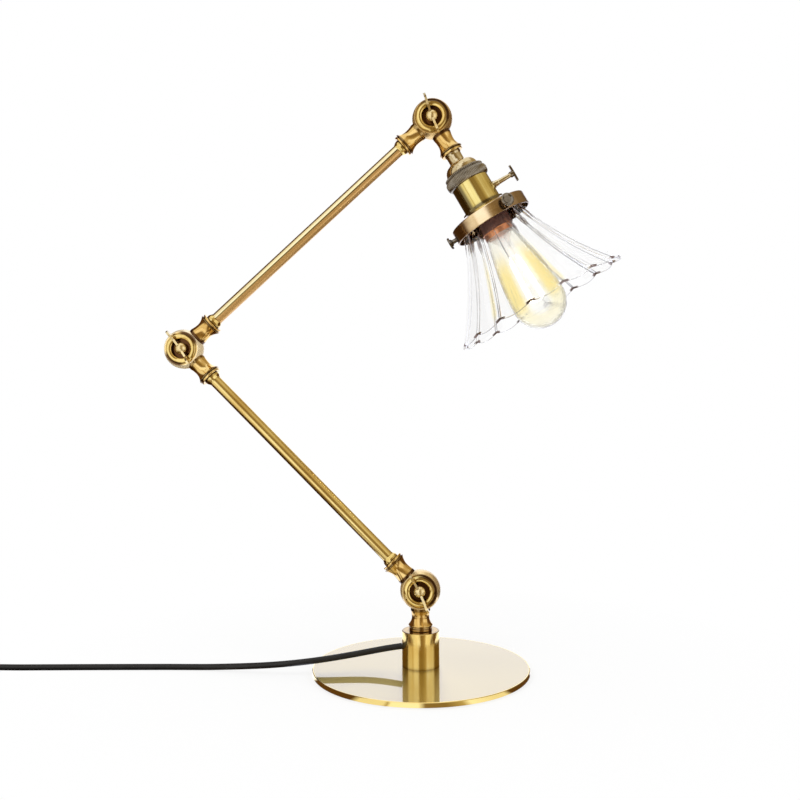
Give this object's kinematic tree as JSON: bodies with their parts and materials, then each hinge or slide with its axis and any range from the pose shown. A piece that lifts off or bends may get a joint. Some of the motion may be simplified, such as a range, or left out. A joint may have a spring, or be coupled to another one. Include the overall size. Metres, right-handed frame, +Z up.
{
  "type": "table lamp",
  "caption": "Jointed table lamp with a round base plate, swivelling arms with wing screws, a key-switch socket, a fluted clear glass shade and a filament bulb.",
  "frame": {"origin": "centre of the underside of the base pad", "axes": "+Z up; the arms swing in the XZ plane, with the elbow on -X and the shade on +X; -Y is the front, where the wing screws are"},
  "size_m": [0.6103, 0.2331, 0.4723],
  "materials": {
    "satin_brass": "satin brushed, lacquered",
    "arm_brass": "finely drawn along the tube",
    "dark_brass": "aged, darkened brass",
    "shell_brass": "satin",
    "steel": "bright zinc plated",
    "copper": "copper coloured, bright",
    "insulation": "matt moulded",
    "pad": "matt foam",
    "cord": "satin sheath",
    "wire": "insulated conductor",
    "clear_glass": "clear pressed glass",
    "bulb_glass": "clear glass, tinted amber",
    "filament": "glowing warm white"
  },
  "bodies": {
    "base": {"base_pad": "pad", "base_disc": "satin_brass", "base_screw": "steel", "column": "satin_brass", "column_cap": "satin_brass", "column_nut": "steel", "cord_bushing": "cord", "base_swivel_front": "satin_brass", "base_ring": "satin_brass", "base_wires": "wire", "cord_run": "cord", "cord_coil": "cord", "cord_tie": "cord", "plug_body": "cord", "plug_blades": "steel"},
    "base_wing_screw": {"base_wing": "satin_brass"},
    "lower_arm": {"base_swivel_rear": "satin_brass", "base_nut": "steel", "base_washer": "insulation", "lower_tube": "arm_brass", "lower_ferrules": "satin_brass", "lower_wires": "wire", "elbow_swivel_front": "satin_brass", "elbow_ring": "satin_brass"},
    "elbow_wing_screw": {"elbow_wing": "satin_brass"},
    "upper_arm": {"elbow_swivel_rear": "satin_brass", "elbow_nut": "steel", "elbow_washer": "insulation", "upper_tube": "arm_brass", "upper_ferrules": "satin_brass", "upper_wires": "wire", "head_swivel_front": "satin_brass", "head_ring": "satin_brass"},
    "head_wing_screw": {"head_wing": "satin_brass"},
    "head": {"head_swivel_rear": "satin_brass", "head_nut": "steel", "head_washer": "insulation", "head_coupling": "dark_brass", "head_nipple": "steel", "head_wires": "wire", "socket_cap": "dark_brass", "socket_collar": "dark_brass", "socket_shell": "shell_brass", "switch_block": "insulation", "key_bushing": "dark_brass", "socket_liner": "insulation", "screw_shell": "satin_brass", "center_contact": "copper", "shade_holder": "satin_brass", "holder_nut": "dark_brass", "glass_shade": "clear_glass", "bulb_cap": "copper", "bulb_glass": "bulb_glass", "bulb_stem": "clear_glass", "bulb_filaments": "filament"},
    "key": {"switch_key": "dark_brass"},
    "front_thumb_screw": {"thumb_screw_front": "dark_brass"},
    "left_thumb_screw": {"thumb_screw_left": "dark_brass"},
    "back_thumb_screw": {"thumb_screw_back": "dark_brass"}
  },
  "joints": [
    {"name": "base_knuckle", "type": "hinge", "parent": "base", "child": "lower_arm", "pos_m": [0, 0, 0.0671], "axis": [0, -1, 0], "range_deg": [-60, 45]},
    {"name": "elbow", "type": "hinge", "parent": "lower_arm", "child": "upper_arm", "pos_m": [-0.19885, 0, 0.26804], "axis": [0, -1, 0], "range_deg": [-20, 93]},
    {"name": "head_tilt", "type": "hinge", "parent": "upper_arm", "child": "head", "pos_m": [0.01255, 0, 0.45574], "axis": [0, -1, 0], "range_deg": [-15, 100]},
    {"name": "base_wing_turn", "type": "hinge", "parent": "base", "child": "base_wing_screw", "pos_m": [0, 0, 0.0671], "axis": [0, -1, 0], "range_deg": [0, 270]},
    {"name": "elbow_wing_turn", "type": "hinge", "parent": "lower_arm", "child": "elbow_wing_screw", "pos_m": [-0.19885, 0, 0.26804], "axis": [0, -1, 0], "range_deg": [0, 270]},
    {"name": "head_wing_turn", "type": "hinge", "parent": "upper_arm", "child": "head_wing_screw", "pos_m": [0.01255, 0, 0.45574], "axis": [0, -1, 0], "range_deg": [0, 270]},
    {"name": "switch_turn", "type": "hinge", "parent": "head", "child": "key", "pos_m": [0.0487, 0, 0.39185], "axis": [0.8704, 0, 0.4924], "continuous": true},
    {"name": "front_thumb_turn", "type": "hinge", "parent": "head", "child": "front_thumb_screw", "pos_m": [0.05994, 0, 0.37198], "axis": [0.326, -0.9272, 0.1845], "range_deg": [0, 270]},
    {"name": "left_thumb_turn", "type": "hinge", "parent": "head", "child": "left_thumb_screw", "pos_m": [0.05994, 0, 0.37198], "axis": [-0.8619, 0.1392, -0.4876], "range_deg": [0, 270]},
    {"name": "back_thumb_turn", "type": "hinge", "parent": "head", "child": "back_thumb_screw", "pos_m": [0.05994, 0, 0.37198], "axis": [0.5358, 0.788, 0.3032], "range_deg": [0, 270]}
  ]
}
